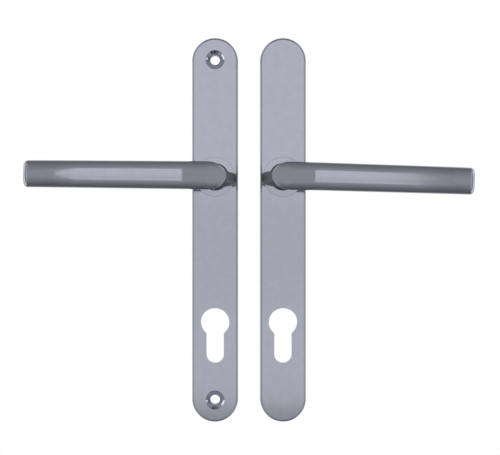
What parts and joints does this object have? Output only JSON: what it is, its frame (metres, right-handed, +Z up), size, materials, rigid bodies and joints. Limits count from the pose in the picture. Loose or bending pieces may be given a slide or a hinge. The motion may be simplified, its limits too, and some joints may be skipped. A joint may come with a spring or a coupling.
{
  "type": "lever door handle pair",
  "caption": "Sprung lever handles on long round-ended backplates with euro profile cylinder openings: a screw-through inside handle, and a blind outside handle with lugs and a square spindle.",
  "frame": {"origin": "on the door's face, midway between the two spindle axes, which are 43 mm apart", "axes": "+X across from the inside handle to the outside handle, +Y into the door, +Z up the plates; the handles face -Y"},
  "size_m": [0.2775, 0.1425, 0.243],
  "materials": {
    "polished_plate": "bright plated zinc casting, softly polished",
    "polished_lever": "bright plated zinc casting, softly polished",
    "white_nylon": "moulded acetal, natural white",
    "black_nylon": "moulded nylon, black",
    "spring_steel": "drawn spring steel, lightly oiled",
    "zinc_plated_steel": "bright zinc plate",
    "bright_steel": "machined bright steel",
    "die_cast_zinc": "bare zinc die casting"
  },
  "bodies": {
    "plates": {"inside_backplate": "polished_plate", "inside_bearing_bush": "black_nylon", "inside_cassette_cover": "zinc_plated_steel", "inside_cassette_screw_lower": "zinc_plated_steel", "inside_cassette_screw_upper": "zinc_plated_steel", "inside_return_spring": "spring_steel", "inside_spring_housing": "white_nylon", "outside_backplate": "polished_plate", "outside_bearing_bush": "black_nylon", "outside_cassette_cover": "zinc_plated_steel", "outside_cassette_screw_lower": "zinc_plated_steel", "outside_cassette_screw_upper": "zinc_plated_steel", "outside_return_spring": "spring_steel", "outside_spring_housing": "white_nylon"},
    "inside_lever": {"inside_driver": "die_cast_zinc", "inside_grub_screw": "bright_steel", "inside_lever": "polished_lever", "inside_retaining_clip": "spring_steel"},
    "outside_lever": {"outside_driver": "die_cast_zinc", "outside_lever": "polished_lever", "outside_retaining_clip": "spring_steel", "outside_spindle": "zinc_plated_steel"}
  },
  "joints": [
    {"name": "inside_lever_turn", "type": "hinge", "parent": "plates", "child": "inside_lever", "pos_m": [-0.0215, 0, 0], "axis": [0, -1, 0], "range_deg": [-44.45, 45.55], "stiffness_Nm_per_rad": 1.2, "springref_deg": -3.08, "deforming": ["inside_return_spring"]},
    {"name": "outside_lever_turn", "type": "hinge", "parent": "plates", "child": "outside_lever", "pos_m": [0.0215, 0, 0], "axis": [0, 1, 0], "range_deg": [-46.75, 43.25], "stiffness_Nm_per_rad": 1.2, "springref_deg": -3.08, "deforming": ["outside_return_spring"]}
  ]
}
